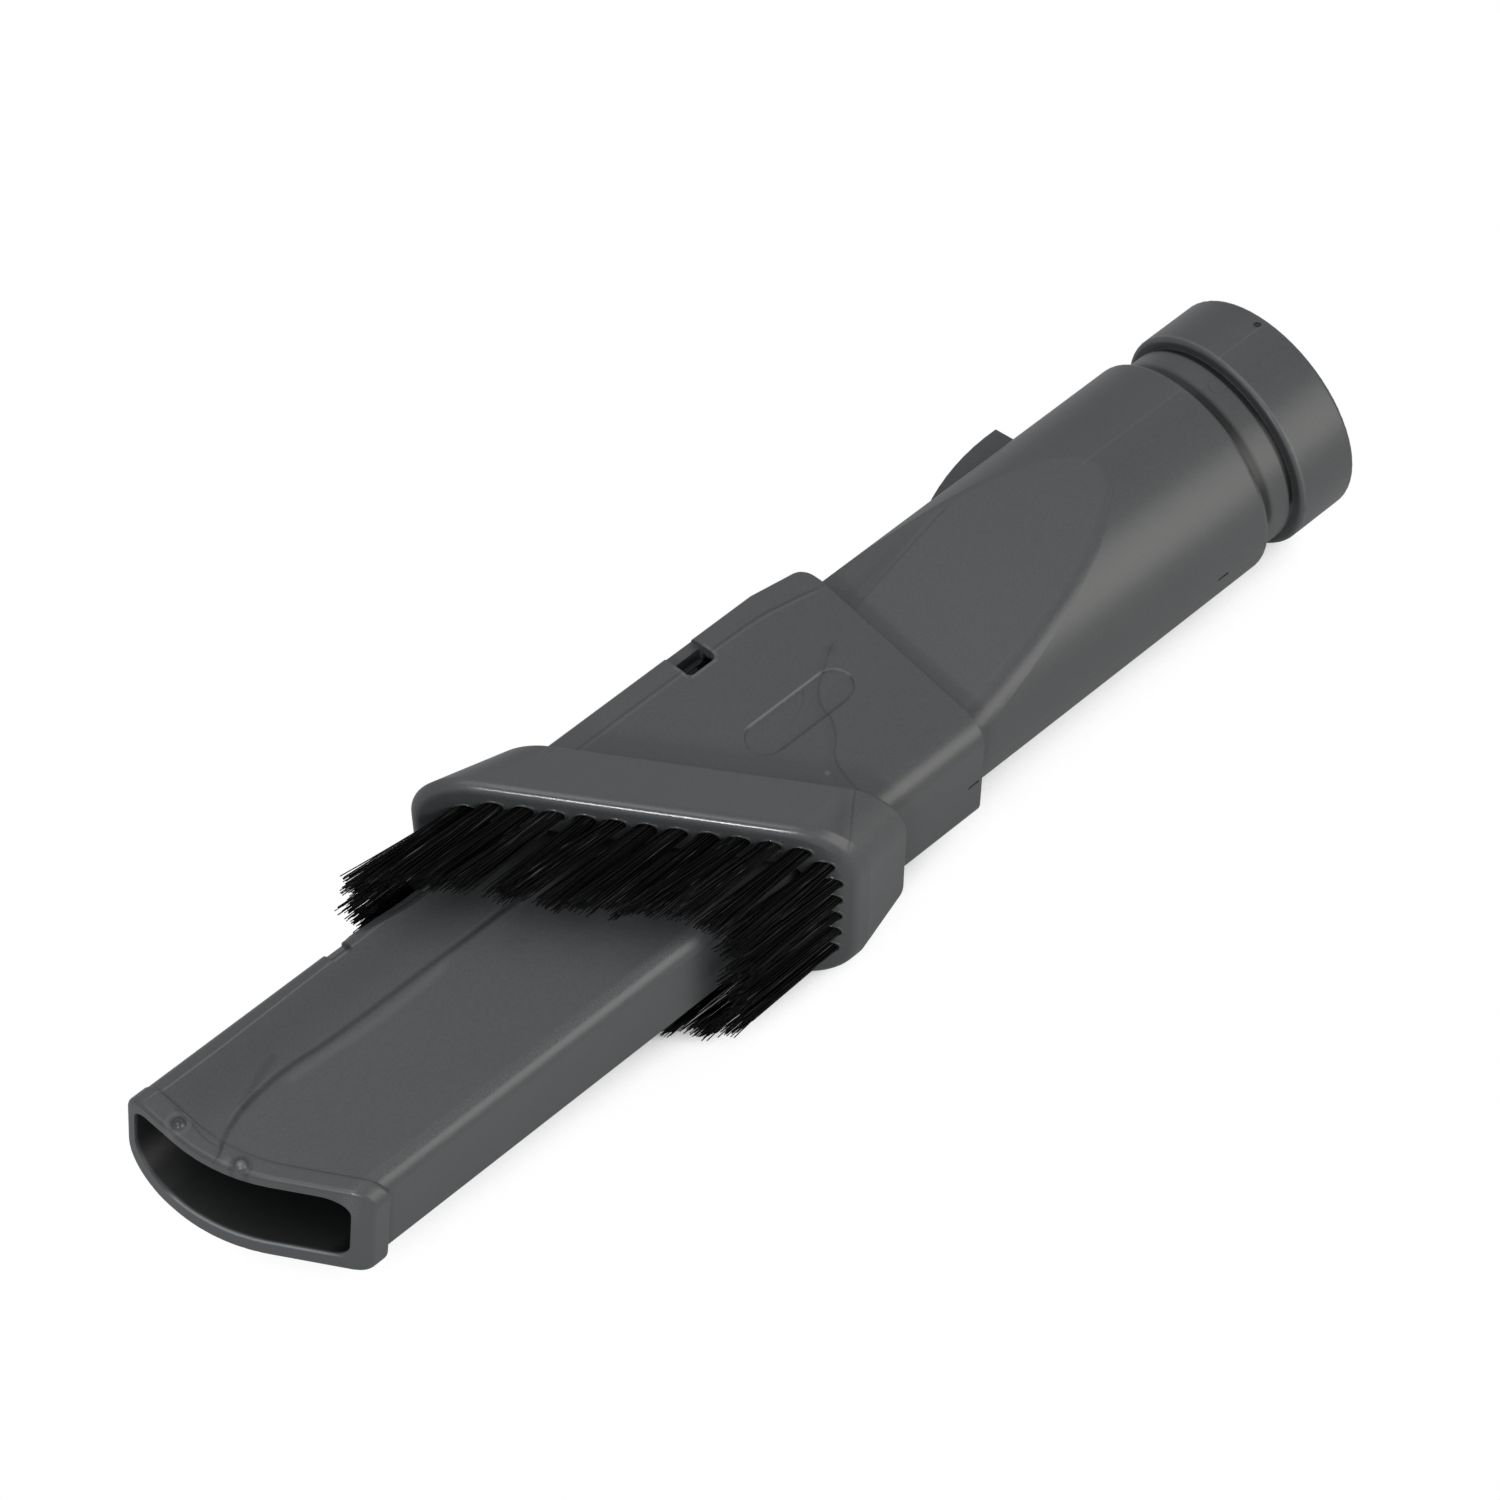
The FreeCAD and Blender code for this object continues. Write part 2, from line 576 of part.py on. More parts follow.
def holder_pocket():
    """Return the cutter of the hollow behind the holder's face plate."""
    half_length = HOLDER_BACK_HALF_LENGTH - HOLDER_WALL
    corner = HOLDER_BACK_CORNER - HOLDER_WALL
    outlines = []
    for depth in (HOLDER_WALL, HOLDER_DEPTH - FACE_PLATE):
        half_height = HOLDER_BACK_HALF_HEIGHT + HOLDER_RISE * depth - HOLDER_WALL
        outlines.append(raked_outline(HOLDER_START + depth, half_length, half_height, corner,
                                      HOLDER_OFF_CENTRE))
    return Part.makeLoft(outlines, True, True)


def guide_ribs():
    """Return the ribs inside the sleeve that run on the nozzle's top, bottom and sides."""
    start = SLEEVE_BACK + COLLAR_LENGTH
    end = start + GUIDE_RIB_LENGTH
    ribs = []
    low = NOZZLE_HALF_HEIGHT + RUNNING_GAP
    high = SLEEVE_HALF_HEIGHT - SLEEVE_WALL / 2
    for out in (-GUIDE_RIB_OUT, GUIDE_RIB_OUT):
        rib = box((start, out - GUIDE_RIB_WIDTH / 2, low), (end, out + GUIDE_RIB_WIDTH / 2, high))
        ribs += both_sides(rib)
    near = NOZZLE_HALF_WIDTH + RUNNING_GAP
    far = SLEEVE_NEAR_OUT - SLEEVE_WALL / 2
    side = box((start, near, -SIDE_RIB_HEIGHT / 2), (end, far, SIDE_RIB_HEIGHT / 2))
    return ribs + [side, side.mirror(ORIGIN, Y_AXIS)]


def latch_window():
    """Return the cutters of the window over the far top corner and of the sunk bar beside it."""
    start = SLEEVE_BACK + WINDOW_FROM_BACK
    end = start + WINDOW_LENGTH
    top = SLEEVE_HALF_HEIGHT + MARGIN
    hole = box((start, -WINDOW_OUTER_OUT, WINDOW_FLOOR), (end, -WINDOW_INNER_OUT, top))
    inner_corners = [edge for edge in hole.Edges
                     if edge.BoundBox.ZLength > MARGIN
                     and abs(edge.CenterOfMass.y + WINDOW_INNER_OUT) < TOLERANCE]
    above_bar = box((start, -SLEEVE_FAR_OUT - MARGIN, WINDOW_BAR_TOP), (end, -WINDOW_OUTER_OUT, top))
    return [hole.makeFillet(WINDOW_CORNER, inner_corners), above_bar]


def latch_tooth():
    """Return the tooth under the window, which clears the nozzle's rounded corner by the running gap."""
    middle = SLEEVE_BACK + WINDOW_FROM_BACK + WINDOW_LENGTH / 2
    start = middle - TOOTH_LENGTH / 2
    root = -(SLEEVE_FAR_OUT - SLEEVE_WALL / 2)
    side = -(NOZZLE_HALF_WIDTH + RUNNING_GAP)
    outline = polygon([
        V(start, root, WINDOW_FLOOR - TOOTH_BELOW),
        V(start, side, NOZZLE_HALF_HEIGHT - NOZZLE_CORNER - RUNNING_GAP),
        V(start, side, WINDOW_FLOOR - RUNNING_GAP),
        V(start, root, WINDOW_FLOOR - RUNNING_GAP),
    ])
    return prism(outline, X_AXIS * TOOTH_LENGTH)


def thumb_pad():
    """Return the low pad on the sleeve's far side, behind the window."""
    end = SLEEVE_BACK + WINDOW_FROM_BACK
    return box((end - PAD_LENGTH, -SLEEVE_FAR_OUT - PAD_PROUD, -PAD_HALF_HEIGHT),
               (end, -SLEEVE_FAR_OUT + SLEEVE_WALL / 2, PAD_HALF_HEIGHT))


def pill_recess():
    """Return the cutter of the shallow bare field on the sleeve's top."""
    reach = (PILL_LENGTH - PILL_WIDTH) / 2
    floor = SLEEVE_HALF_HEIGHT - PILL_DEPTH
    middle = V(SLEEVE_BACK + PILL_FROM_BACK, 0, floor)
    radius = Y_AXIS * (PILL_WIDTH / 2)
    front = middle + X_AXIS * reach
    back = middle - X_AXIS * reach
    outline = Part.Wire([
        Part.makeLine(back - radius, front - radius),
        Part.Arc(front - radius, front + X_AXIS * (PILL_WIDTH / 2), front + radius).toShape(),
        Part.makeLine(front + radius, back + radius),
        Part.Arc(back + radius, back - X_AXIS * (PILL_WIDTH / 2), back - radius).toShape(),
    ])
    return prism(outline, Z_AXIS * MARGIN)


def sleeve_slit():
    """Return the cutter of the small slit on the sleeve's near side."""
    start = SLEEVE_BACK + SLIT_WIDTH
    return box((start, SLEEVE_NEAR_OUT - MARK_DEPTH, -2 * SLIT_WIDTH),
               (start + SLIT_LENGTH, SLEEVE_NEAR_OUT + MARGIN, -SLIT_WIDTH))


def tuft_holes(places):
    """Return the cutters of the tuft holes in the front face."""
    holes = []
    for y, z in places:
        floor = V(face_x(y) - TUFT_HOLE_DEPTH, y, z)
        holes.append(Part.makeCylinder(TUFT_HOLE_RADIUS, TUFT_HOLE_DEPTH + MARGIN, floor, X_AXIS))
    return holes


def brush_slider(places):
    """Return the one-piece brush carriage."""
    outside = holder().fuse([sleeve(), thumb_pad()]).removeSplitter()
    cutters = carriage_ways() + [holder_pocket(), pill_recess(), sleeve_slit()] + tuft_holes(places)
    hollow = outside.cut(cutters)
    return hollow.cut(latch_window()).fuse(guide_ribs() + [latch_tooth()]).removeSplitter()


def tuft(y, z):
    """Return one tuft: a straight root in its hole and a slightly splayed free length."""
    face = face_x(y)
    root_radius = TUFT_HOLE_RADIUS - TUFT_GAP
    floor = face - TUFT_HOLE_DEPTH + ANCHOR_THICKNESS
    reach = TUFT_TIP_RADIUS * math.tan(RAKE)
    root = Part.makeCylinder(root_radius, face - floor, V(floor, y, z), X_AXIS)
    free = Part.makeCone(root_radius, TUFT_TIP_RADIUS, TUFT_LENGTH + reach, V(face, y, z), X_AXIS)
    wide = 2 * TUFT_TIP_RADIUS
    end = V(face + TUFT_LENGTH, y, z)
    trim = prism(polygon([
        end + ALONG_RAKE * wide - Z_AXIS * wide,
        end - ALONG_RAKE * wide - Z_AXIS * wide,
        end - ALONG_RAKE * wide + Z_AXIS * wide,
        end + ALONG_RAKE * wide + Z_AXIS * wide,
    ]), X_AXIS * 2 * wide)
    return root.fuse(free).cut(trim).removeSplitter()


def anchor(y, z):
    """Return the flat anchor on the floor of one tuft hole."""
    floor = face_x(y) - TUFT_HOLE_DEPTH
    half_length = math.sqrt((TUFT_HOLE_RADIUS - TUFT_GAP) ** 2 - (ANCHOR_WIDTH / 2) ** 2)
    return box((floor, y - half_length, z - ANCHOR_WIDTH / 2),
               (floor + ANCHOR_THICKNESS, y + half_length, z + ANCHOR_WIDTH / 2))


def main():
    """Build every piece and write it to its own file."""
    os.makedirs("parts", exist_ok=True)
    places = tuft_places()
    pieces = {"nozzle_body": nozzle_body(), "brush_slider": brush_slider(places)}
    pieces["tuft_anchors"] = Part.makeCompound([anchor(y, z) for y, z in places])
    for number, (y, z) in enumerate(places, start=1):
        pieces[f"tuft_{number:02d}"] = tuft(y, z)
    for name, shape in pieces.items():
        shape.exportStep(f"parts/{name}.step")
        print(name, "valid" if shape.isValid() else "NOT VALID", len(shape.Solids), round(shape.Volume, 1))


main()
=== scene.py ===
"""Looks of a two-in-one crevice tool: a moulded nozzle, a sliding brush carriage and its nylon tufts.

The tool lies along X, from the connector's open end to the mouth. +Y is the near, raked side, +Z is up.
Lengths are in metres, and MM turns a size in millimetres into metres. Marks, spots and hollow shades, which
the finish paints as moulding marks, painted shade and painted highlights, are given in millimetres.
"""
from __future__ import annotations

import logging
import math
import random
from dataclasses import dataclass, field
from enum import Enum

import bpy
from mathutils import Matrix, Vector


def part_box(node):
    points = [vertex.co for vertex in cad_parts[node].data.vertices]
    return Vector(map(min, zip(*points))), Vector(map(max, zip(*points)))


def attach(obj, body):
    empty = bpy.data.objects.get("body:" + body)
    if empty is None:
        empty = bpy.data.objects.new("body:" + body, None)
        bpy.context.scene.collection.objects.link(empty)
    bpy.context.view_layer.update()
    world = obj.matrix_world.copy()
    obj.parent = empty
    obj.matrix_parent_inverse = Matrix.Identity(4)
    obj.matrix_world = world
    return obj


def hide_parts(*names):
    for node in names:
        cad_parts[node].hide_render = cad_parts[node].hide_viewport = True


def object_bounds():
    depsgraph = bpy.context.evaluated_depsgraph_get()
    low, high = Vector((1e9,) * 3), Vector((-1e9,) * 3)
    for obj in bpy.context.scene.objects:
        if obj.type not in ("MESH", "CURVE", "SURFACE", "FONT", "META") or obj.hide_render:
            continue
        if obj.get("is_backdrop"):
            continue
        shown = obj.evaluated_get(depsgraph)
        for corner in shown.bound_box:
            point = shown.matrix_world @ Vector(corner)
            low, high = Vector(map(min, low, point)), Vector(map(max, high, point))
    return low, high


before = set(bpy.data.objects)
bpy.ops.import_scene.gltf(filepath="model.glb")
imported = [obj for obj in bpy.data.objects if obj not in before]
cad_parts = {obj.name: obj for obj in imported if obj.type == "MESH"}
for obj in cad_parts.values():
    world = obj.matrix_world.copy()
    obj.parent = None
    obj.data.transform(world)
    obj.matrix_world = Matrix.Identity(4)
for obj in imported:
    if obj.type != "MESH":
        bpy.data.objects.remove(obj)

LOG = logging.getLogger("crevice_tool")
MM = 0.001
Colour = tuple[float, float, float]
Point = tuple[float, float]
WHITE: Colour = (1.0, 1.0, 1.0)
NOISE_MIDDLE = 0.5
# Height over which a mark eases in above the tool's middle.
UPPER_EASE = 4 * MM
# How white the ground is where a glossy surface mirrors it.
MIRRORED_WHITE = 0.2
# Rotation that lays a primitive's axis along the tool.
ALONG_X = (0, math.pi / 2, 0)


class Slot(Enum):
    """Material slots of the record for the scene's own pieces, which this script doesn't give them."""

    CARRIAGE = "carriage_plastic"
    BRISTLE = "bristle"


class Body(Enum):
    """Body of the record that the scene's own pieces ride on."""

    CARRIAGE = "carriage"


def opaque(colour: Colour) -> tuple[float, float, float, float]:
    """Return a colour with full alpha."""
    return (*colour, 1.0)


class Signal:
    """One socket of a material, with operators that add Math nodes."""

    def __init__(self, bench: NodeBench, socket: bpy.types.NodeSocket) -> None:
        """Keep the socket and the bench that it belongs to."""
        self.bench = bench
        self.socket = socket

    def math(self, operation: str, first: Signal | float, second: Signal | float = 0.0) -> Signal:
        """Add a Math node and return its result."""
        return self.bench.signal("ShaderNodeMath", 0, {"operation": operation}, {0: first, 1: second})

    def __add__(self, other: Signal | float) -> Signal:
        """Return the sum."""
        return self.math("ADD", self, other)

    def __radd__(self, other: float) -> Signal:
        """Return the sum, from the right."""
        return self.math("ADD", other, self)

    def __sub__(self, other: Signal | float) -> Signal:
        """Return the difference."""
        return self.math("SUBTRACT", self, other)

    def __rsub__(self, other: float) -> Signal:
        """Return the difference, from the right."""
        return self.math("SUBTRACT", other, self)

    def __mul__(self, other: Signal | float) -> Signal:
        """Return the product."""
        return self.math("MULTIPLY", self, other)

    def __rmul__(self, other: float) -> Signal:
        """Return the product, from the right."""
        return self.math("MULTIPLY", other, self)

    def __truediv__(self, other: Signal | float) -> Signal:
        """Return the quotient."""
        return self.math("DIVIDE", self, other)

    def __abs__(self) -> Signal:
        """Return the absolute value."""
        return self.math("ABSOLUTE", self)

    def at_least(self, low: Signal | float) -> Signal:
        """Return the larger of this and another value."""
        return self.math("MAXIMUM", self, low)

    def root(self) -> Signal:
        """Return the square root."""
        return self.math("SQRT", self)

    def ramp(self, low: float, high: float, start: float = 0.0, end: float = 1.0) -> Signal:
        """Ease from one value to another.

        Args:
            low: Where the change starts.
            high: Where it ends.
            start: The value up to low.
            end: The value from high on.

        Returns:
            The eased value.
        """
        return self.bench.signal("ShaderNodeMapRange", 0, {"interpolation_type": "SMOOTHSTEP"},
                                 {0: self, 1: low, 2: high, 3: start, 4: end})

    def near(self, half_width: float) -> Signal:
        """Return 1 where this value is zero, easing to 0 at a half width on both sides."""
        return abs(self).ramp(0.0, half_width, 1.0, 0.0)


class NodeBench:
    """The node tree of one material, or of the world."""

    def __init__(self, owner: bpy.types.Material | bpy.types.World) -> None:
        """Clear the nodes of a material or world.

        Args:
            owner: The material or world.
        """
        self.owner = owner
        owner.use_nodes = True
        self.tree = owner.node_tree
        self.tree.nodes.clear()

    @classmethod
    def material(cls, name: str) -> NodeBench:
        """Return the bench of a new material of a name."""
        return cls(bpy.data.materials.new(name))

    def node(self, kind: str, settings: dict | None = None, inputs: dict | None = None) -> bpy.types.Node:
        """Add a node.

        Args:
            kind: The node's type.
            settings: Its settings, with "curve" for the points of a curve node.
            inputs: Values or signals for its sockets, by name or number.

        Returns:
            The node.
        """
        made = self.tree.nodes.new(kind)
        for name, value in (settings or {}).items():
            if name == "curve":
                self.shape_curve(made.mapping, value)
            else:
                setattr(made, name, value)
        for name, value in (inputs or {}).items():
            if isinstance(value, Signal):
                self.tree.links.new(value.socket, made.inputs[name])
            else:
                made.inputs[name].default_value = value
        return made

    def signal(self, kind: str, output: int | str, settings: dict | None = None,
               inputs: dict | None = None) -> Signal:
        """Add a node and return one of its outputs as a signal."""
        return Signal(self, self.node(kind, settings, inputs).outputs[output])

    @staticmethod
    def shape_curve(mapping: bpy.types.CurveMapping, points: list[Point]) -> None:
        """Put points on a curve node's only curve.

        Args:
            mapping: The node's mapping.
            points: The points, whose first and last lie at 0 and 1.
        """
        curve = mapping.curves[0]
        curve.points[0].location = points[0]
        curve.points[1].location = points[-1]
        for across, up in points[1:-1]:
            curve.points.new(across, up)
        mapping.update()

    def place(self) -> Signal:
        """Return the object's coordinates as a vector."""
        return self.signal("ShaderNodeTexCoord", "Object")

    def axes(self, vector: Signal) -> tuple[Signal, ...]:
        """Return x, y and z of a vector."""
        split = self.node("ShaderNodeSeparateXYZ", None, {0: vector})
        return tuple(Signal(self, output) for output in split.outputs)

    def noise(self, vector: Signal, size: float, detail: float = 2.0, rough: float = 0.5) -> Signal:
        """Return noise between 0 and 1.

        Args:
            vector: Where it is read.
            size: Length of its largest features.
            detail: Number of finer layers.
            rough: Weight of the finer layers.

        Returns:
            The noise.
        """
        return self.signal("ShaderNodeTexNoise", 0, None,
                           {"Vector": vector, "Scale": 1.0 / size, "Detail": detail, "Roughness": rough})

    def stretched(self, vector: Signal, scale: tuple[float, float, float]) -> Signal:
        """Return coordinates with each axis scaled."""
        return self.signal("ShaderNodeMapping", 0, None, {"Vector": vector, "Scale": scale})

    def track(self, points: tuple[Point, ...], along: Signal) -> tuple[Signal, Signal]:
        """Follow a curve through points in millimetres.

        Args:
            points: Pairs of a coordinate and the other coordinate that follows it.
            along: The first coordinate.

        Returns:
            The second coordinate on the curve, and the share of the curve's length along the first.
        """
        first, last = points[0][0] * MM, points[-1][0] * MM
        low = min(point[1] for point in points) * MM
        spread = max(max(point[1] for point in points) * MM - low, MM)
        curve = [((a * MM - first) / (last - first), (b * MM - low) / spread) for a, b in points]
        share = (along - first) / (last - first)
        rise = self.signal("ShaderNodeFloatCurve", 0, {"curve": curve}, {"Value": share})
        return rise * spread + low, share

    def mixed(self, factor: Signal, first: Colour | Signal, second: Colour) -> Signal:
        """Mix two colours.

        Args:
            factor: The second colour's share, which may lie below 0 or above 1.
            first: The first colour.
            second: The second colour.

        Returns:
            The mixed colour.
        """
        start = first if isinstance(first, Signal) else opaque(first)
        return self.signal("ShaderNodeMix", 2, {"data_type": "RGBA", "clamp_factor": False},
                           {0: factor, 6: start, 7: opaque(second)})

    def white_share(self, sky: Signal | float, mirrored: Signal | float) -> Signal:
        """Return how much of a ground reads as white.

        Args:
            sky: Its share where the camera sees the ground, also through glass.
            mirrored: Its share where a glossy surface mirrors the ground.

        Returns:
            The share for the ray at hand, which is none for the light that falls on the tool.
        """
        path = self.node("ShaderNodeLightPath")
        camera, glass, glossy = (Signal(self, path.outputs[f"Is {kind} Ray"])
                                 for kind in ("Camera", "Transmission", "Glossy"))
        return (camera.at_least(glass) * sky).at_least(glossy * mirrored)

    def finish(self, shader: bpy.types.Node) -> bpy.types.Material | bpy.types.World:
        """Link a shader to the output.

        Args:
            shader: The last shader node.

        Returns:
            The material or world.
        """
        kind = "World" if isinstance(self.owner, bpy.types.World) else "Material"
        self.node(f"ShaderNodeOutput{kind}", None, {"Surface": Signal(self, shader.outputs[0])})
        return self.owner


@dataclass(frozen=True)
class Mark:
    """A soft line, a moulding mark or painted shade or highlight, drawn where one coordinate follows a
    curve of another.

    Its tone lightens or darkens the plastic, its groove sinks it and its polish makes it smoother.
    """

    points: tuple[Point, ...]
    half_width: float
    tone: float
    groove: float = 0.0
    along_y: bool = False
    level: float | None = None
    polish: float = 0.0
    end_fade: float = 0.06
    level_fade: float = 0.6

    @classmethod
    def hoop(cls, x: float, reach: float, half_width: float, tone: float) -> Mark:
        """Return a line straight across the tool at x, with a reach to both sides."""
        return cls(((-reach, x), (reach, x)), half_width, tone, along_y=True)

    def beside(self, offset: float, half_width: float, tone: float) -> Mark:
        """Return a line that runs beside this one at an offset."""
        points = tuple((along, across + offset) for along, across in self.points)
        return Mark(points, half_width, tone, along_y=self.along_y)

    def mask(self, bench: NodeBench, x: Signal, y: Signal, z: Signal) -> Signal:
        """Return 1 on the line, easing to 0 beside it and past its ends.

        Args:
            bench: The material's bench.
            x: Coordinate along the tool.
            y: Coordinate across the tool.
            z: Height, which keeps the line to the upper side or near its own level.

        Returns:
            The mask.
        """
        along, across = (y, x) if self.along_y else (x, y)
        track, share = bench.track(self.points, along)
        fade = self.end_fade
        ends = share.ramp(-fade, fade) * share.ramp(1 - fade, 1 + fade, 1.0, 0.0)
        if self.level is None:
            height = z.ramp(0.0, UPPER_EASE)
        else:
            height = (z - self.level * MM).near(self.level_fade * MM)
        return (across - track).near(self.half_width * MM) * ends * height


@dataclass(frozen=True)
class Spot:
    """A round mark on the upper side, filled or drawn as a ring."""

    centre: Point
    radius: float
    half_width: float
    tone: float
    groove: float = 0.0
    polish: float = 0.0

    def mask(self, bench: NodeBench, x: Signal, y: Signal, z: Signal) -> Signal:
        """Return 1 on the spot or ring, easing to 0 beside it.

        Args:
            bench: The material's bench.
            x: Coordinate along the tool.
            y: Coordinate across the tool.
            z: Height, which keeps the spot to the upper side.

        Returns:
            The mask.
        """
        along, across = x - self.centre[0] * MM, y - self.centre[1] * MM
        away = (along * along + across * across).root() - self.radius * MM
        return away.near(self.half_width * MM) * z.ramp(0.0, UPPER_EASE)


@dataclass(frozen=True)
class HollowShade:
    """The inside of a moulding, painted dark as shade, as a box that ends a little behind a curved, leaning
    front face.
    """

    half_width: float
    half_height: float
    back: float
    front: tuple[Point, ...]
    lean_deg: float = 0.0
    side_fade: float = 0.2
    front_fade: Point = (0.2, 0.8)
    back_fade: float = 2.0

    def mask(self, bench: NodeBench, x: Signal, y: Signal, z: Signal) -> Signal:
        """Return 1 inside, easing to 0 outside.

        Args:
            bench: The material's bench.
            x: Coordinate along the tool.
            y: Coordinate across the tool.
            z: Height.

        Returns:
            The mask.
        """
        wide, high, fade = self.half_width * MM, self.half_height * MM, self.side_fade * MM
        face, _ = bench.track(self.front, y)
        depth = face - (z + high) * math.tan(math.radians(self.lean_deg)) - x
        return (abs(y).ramp(wide, wide + fade, 1.0, 0.0) * abs(z).ramp(high, high + fade, 1.0, 0.0)
                * x.ramp((self.back - self.back_fade) * MM, (self.back + self.back_fade) * MM)
                * depth.ramp(self.front_fade[0] * MM, self.front_fade[1] * MM))


@dataclass(frozen=True)
class PlasticFinish:
    """Satin moulded plastic with a fine mineral grain, faint clouds, moulding marks, painted shade and
    painted highlights.
    """

    name: str
    colour: Colour = (0.0660, 0.0705, 0.0728)
    contrast: float = 0.5
    middle_tone: float = 0.5
    darkest_tone: float = -0.45
    grain: float = 0.38 * MM
    grain_tone: float = 0.5
    grain_rough: float = 0.65
    grain_height: float = 0.013
    cloud: float = 14 * MM
    cloud_tone: float = 0.10
    noise_detail: float = 3.0
    roughness: float = 0.37
    roughness_swing: float = 0.16
    specular: float = 0.5
    edge_radius: float = 0.22 * MM
    edge_samples: int = 4
    marks: tuple[Mark | Spot, ...] = ()
    # Painted glints, which the hollow's painted shade leaves bare.
    glint_marks: tuple[Mark, ...] = ()
    # Painted shade inside the moulding, in its own darker colour, which is also rougher.
    hollow: HollowShade | None = None
    hollow_shade_colour: Colour = (0.0045, 0.005, 0.005)
    deep_roughness: float = 0.1

    def material(self) -> bpy.types.Material:
        """Make the material.

        Returns:
            The material of this finish.
        """
        bench = NodeBench.material(self.name)
        vector = bench.place()
        x, y, z = bench.axes(vector)
        grain = bench.noise(vector, self.grain, self.noise_detail, self.grain_rough) - NOISE_MIDDLE
        cloud = bench.noise(vector, self.cloud, self.noise_detail) - NOISE_MIDDLE
        tone = self.middle_tone + grain * self.grain_tone + cloud * self.cloud_tone
        height = grain * self.grain_height
        roughness = self.roughness + grain * self.roughness_swing
        # The marks' tones paint moulding marks, shade and highlights; their grooves and polish shape the
        # surface.
        for mark in self.marks + self.glint_marks:
            mask = mark.mask(bench, x, y, z)
            tone = tone + mask * mark.tone
            if mark.groove:
                height = height - mask * mark.groove
            if mark.polish:
                roughness = roughness - mask * mark.polish
        dark = tuple(channel * (1 - self.contrast) for channel in self.colour)
        light = tuple(channel * (1 + self.contrast) for channel in self.colour)
        colour = bench.mixed(tone.at_least(self.darkest_tone), dark, light)
        # Painted shade inside the hollow, kept off the glints.
        if self.hollow:
            inside = self.hollow.mask(bench, x, y, z)
            for mark in self.glint_marks:
                inside = inside * (1.0 - mark.mask(bench, x, y, z))
            colour = bench.mixed(inside, colour, self.hollow_shade_colour)
            roughness = roughness + inside * self.deep_roughness
        bevel = bench.signal("ShaderNodeBevel", 0, {"samples": self.edge_samples},
                             {"Radius": self.edge_radius})
        bump = bench.signal("ShaderNodeBump", 0, None,
                            {"Strength": 1.0, "Distance": MM, "Height": height, "Normal": bevel})
        shader = bench.node("ShaderNodeBsdfPrincipled", None, {
            "Base Color": colour,
            "Roughness": roughness,
            "Specular IOR Level": self.specular,
            "Normal": bump,
        })
        return bench.finish(shader)


@dataclass(frozen=True)
class NylonFinish:
    """Black nylon filament with lighter streaks along it, which are painted glints."""

    name: str = "black_nylon"
    dark: Colour = (0.0009, 0.0010, 0.0009)
    # Colour of the painted glints.
    light: Colour = (0.075, 0.082, 0.072)
    glint_streak: float = 0.32 * MM
    streak_stretch: float = 0.012
    streak_ramp: Point = (0.62, 0.74)
    fleck: float = 0.5 * MM
    roughness: float = 0.42
    roughness_swing: float = 0.2
    specular: float = 0.11

    def material(self) -> bpy.types.Material:
        """Make the material.

        Returns:
            The material of this finish.
        """
        bench = NodeBench.material(self.name)
        vector = bench.place()
        across = bench.stretched(vector, (self.streak_stretch, 1.0, 1.0))
        glint_streak = bench.noise(across, self.glint_streak).ramp(*self.streak_ramp)
        fleck = bench.noise(vector, self.fleck) - NOISE_MIDDLE
        shader = bench.node("ShaderNodeBsdfPrincipled", None, {
            "Base Color": bench.mixed(glint_streak, self.dark, self.light),
            "Roughness": self.roughness + fleck * self.roughness_swing,
            "Specular IOR Level": self.specular,
        })
        return bench.finish(shader)


@dataclass(frozen=True)
class WireFinish:
    """Drawn steel strip with fine lengthwise scratches."""

    name: str = "drawn_wire"
    dark: Colour = (0.36, 0.36, 0.37)
    light: Colour = (0.58, 0.58, 0.59)
    scratch: float = 0.1 * MM
    scratch_stretch: float = 0.05
    scratch_detail: float = 3.0
    roughness: float = 0.25
    roughness_swing: float = 0.2

    def material(self) -> bpy.types.Material:
        """Make the material.

        Returns:
            The material of this finish.
        """
        bench = NodeBench.material(self.name)
        across = bench.stretched(bench.place(), (1.0, self.scratch_stretch, 1.0))
        scratch = bench.noise(across, self.scratch, self.scratch_detail)
        shader = bench.node("ShaderNodeBsdfPrincipled", None, {
            "Base Color": bench.mixed(scratch, self.dark, self.light),
            "Roughness": self.roughness + scratch * self.roughness_swing,
            "Metallic": 1.0,
        })
        return bench.finish(shader)


@dataclass(frozen=True)
class FloorFinish:
    """Plain white floor that reads as white to the camera and keeps a tight shadow under the tool."""

    name: str = "white_floor"
    colour: Colour = (0.48, 0.485, 0.49)
    reach: float = 40 * MM
    shadow_samples: int = 12
    seen_ramp: Point = (0.10, 0.42)
    mirrored_ramp: Point = (0.60, 1.0)

    def material(self) -> bpy.types.Material:
        """Make the material.

        Returns:
            The material of this finish.
        """
        bench = NodeBench.material(self.name)
        sky = bench.signal("ShaderNodeAmbientOcclusion", "AO", {"samples": self.shadow_samples},
                           {"Distance": self.reach})
        share = bench.white_share(sky.ramp(*self.seen_ramp),
                                  sky.ramp(*self.mirrored_ramp, 0.0, MIRRORED_WHITE))
        white = bench.signal("ShaderNodeEmission", 0, None, {"Color": opaque(WHITE), "Strength": 1.0})
        paint = bench.signal("ShaderNodeBsdfDiffuse", 0, None, {"Color": opaque(self.colour)})
        return bench.finish(bench.node("ShaderNodeMixShader", None, {0: share, 1: paint, 2: white}))


